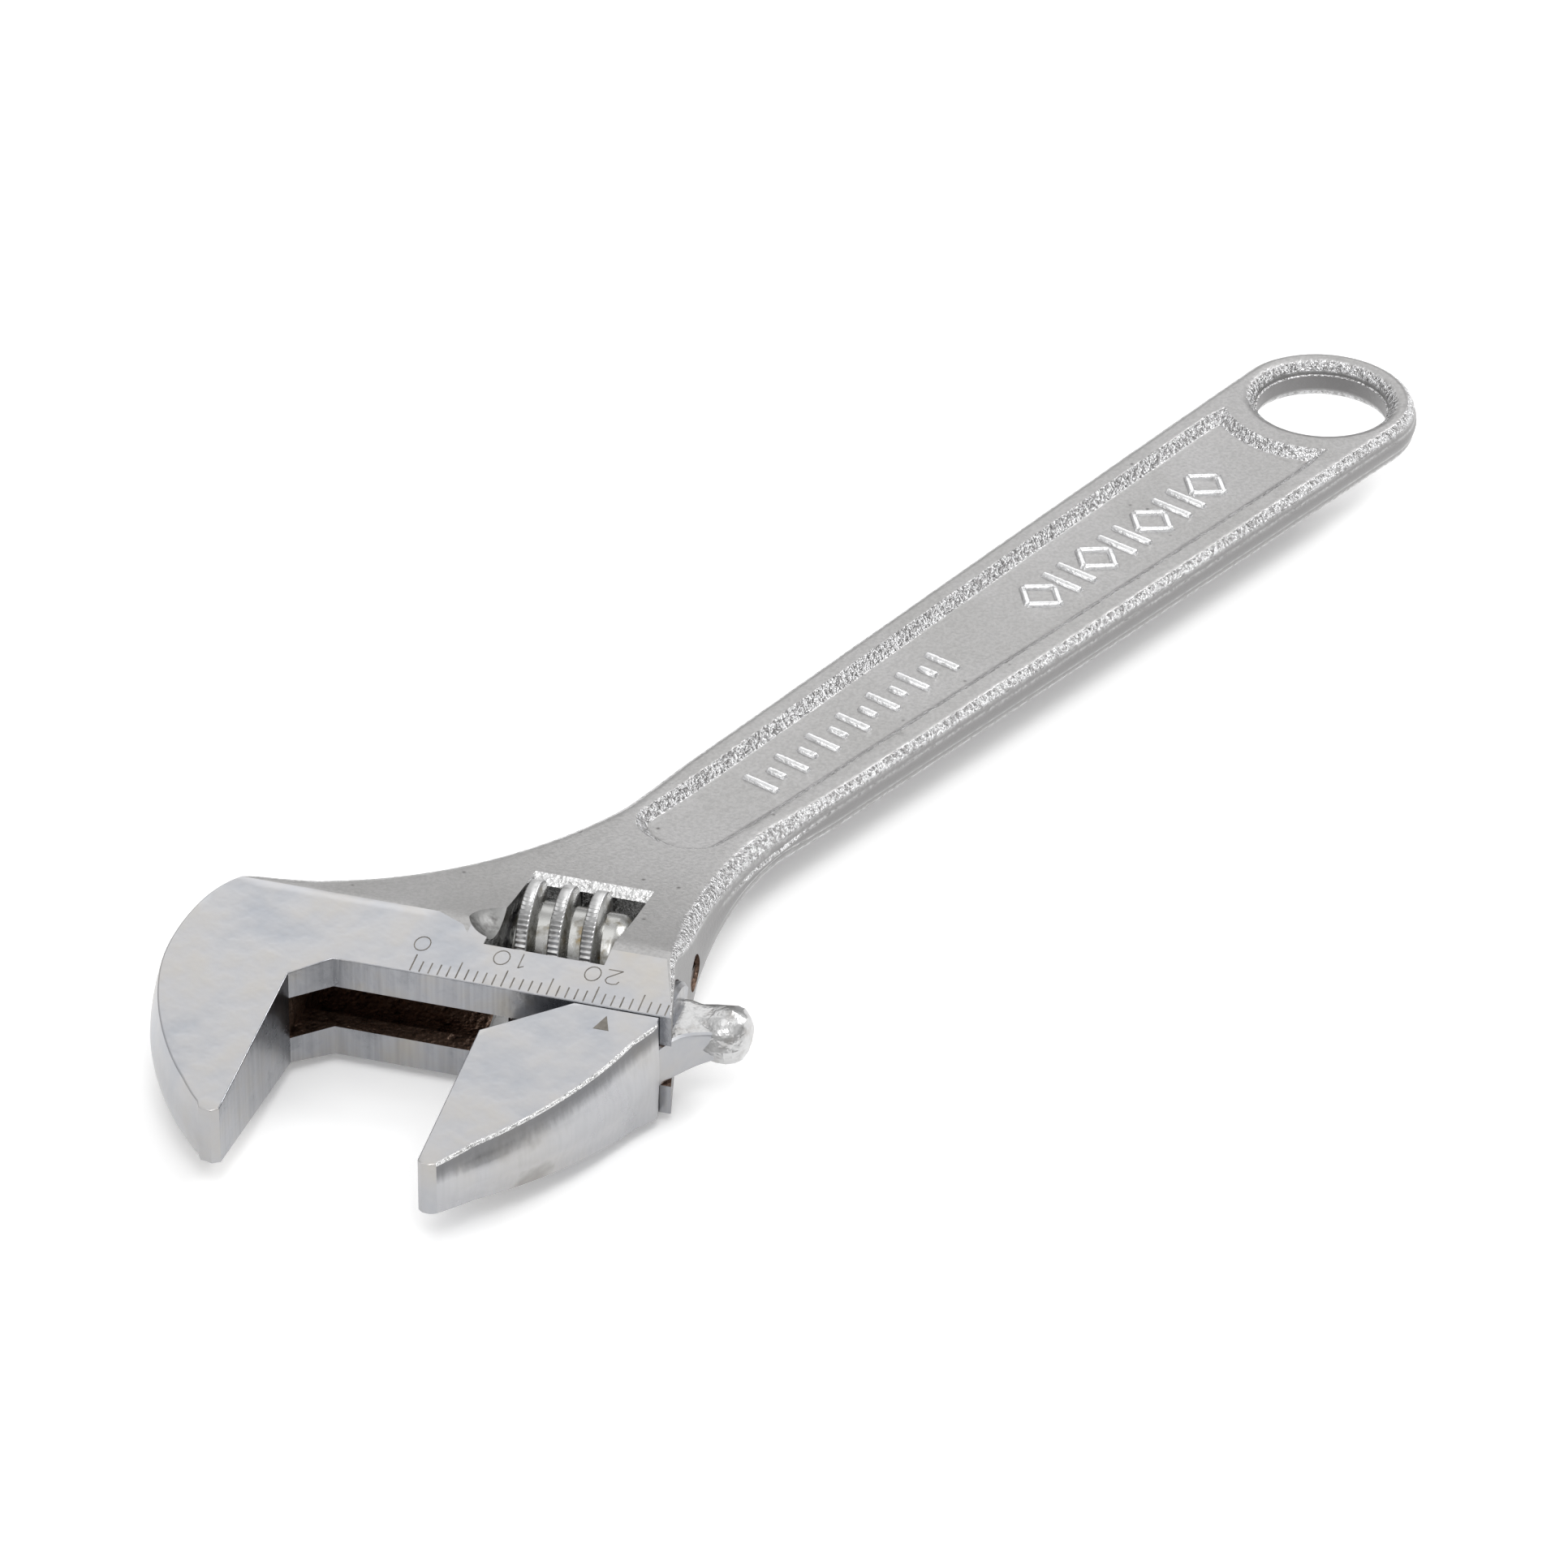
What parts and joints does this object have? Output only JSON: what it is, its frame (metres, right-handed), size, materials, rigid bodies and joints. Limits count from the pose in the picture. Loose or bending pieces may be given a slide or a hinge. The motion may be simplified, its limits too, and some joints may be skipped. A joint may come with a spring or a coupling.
{
  "type": "adjustable wrench",
  "caption": "Adjustable wrench with a tilted open jaw, a sliding jaw driven by a knurled worm, an opening scale on the head and a hanging hole in the tail.",
  "frame": {"origin": "centre of the hanging hole at mid-thickness", "axes": "+X along the handle to the head, +Y towards the movable jaw's side, +Z out of the face that carries the scale"},
  "size_m": [0.2034, 0.0565, 0.0146],
  "materials": {
    "forged_body": "satin plated forging with ground head faces",
    "ground_jaw": "satin ground",
    "knurled_worm": "bright plated, oily in the grooves",
    "pin_steel": "turned",
    "spring_steel": "drawn wire"
  },
  "bodies": {
    "body": {"body": "forged_body", "worm_pin": "pin_steel", "worm_spring": "spring_steel"},
    "movable_jaw": {"movable_jaw": "ground_jaw"},
    "worm": {"worm": "knurled_worm"}
  },
  "joints": [
    {"name": "jaw_slide", "type": "slide", "parent": "body", "child": "movable_jaw", "axis": [-0.3907, 0.9205, 0], "range_m": [-0.0219, 0.0059]},
    {"name": "worm_turn", "type": "hinge", "parent": "body", "child": "worm", "pos_m": [0.14231, 0.00384, 0], "axis": [-0.3907, 0.9205, 0], "range_deg": [-600, 2200]}
  ],
  "couplings": [
    {"joint": "worm_turn", "follows": "jaw_slide", "rad_per_m": -1745.3}
  ]
}
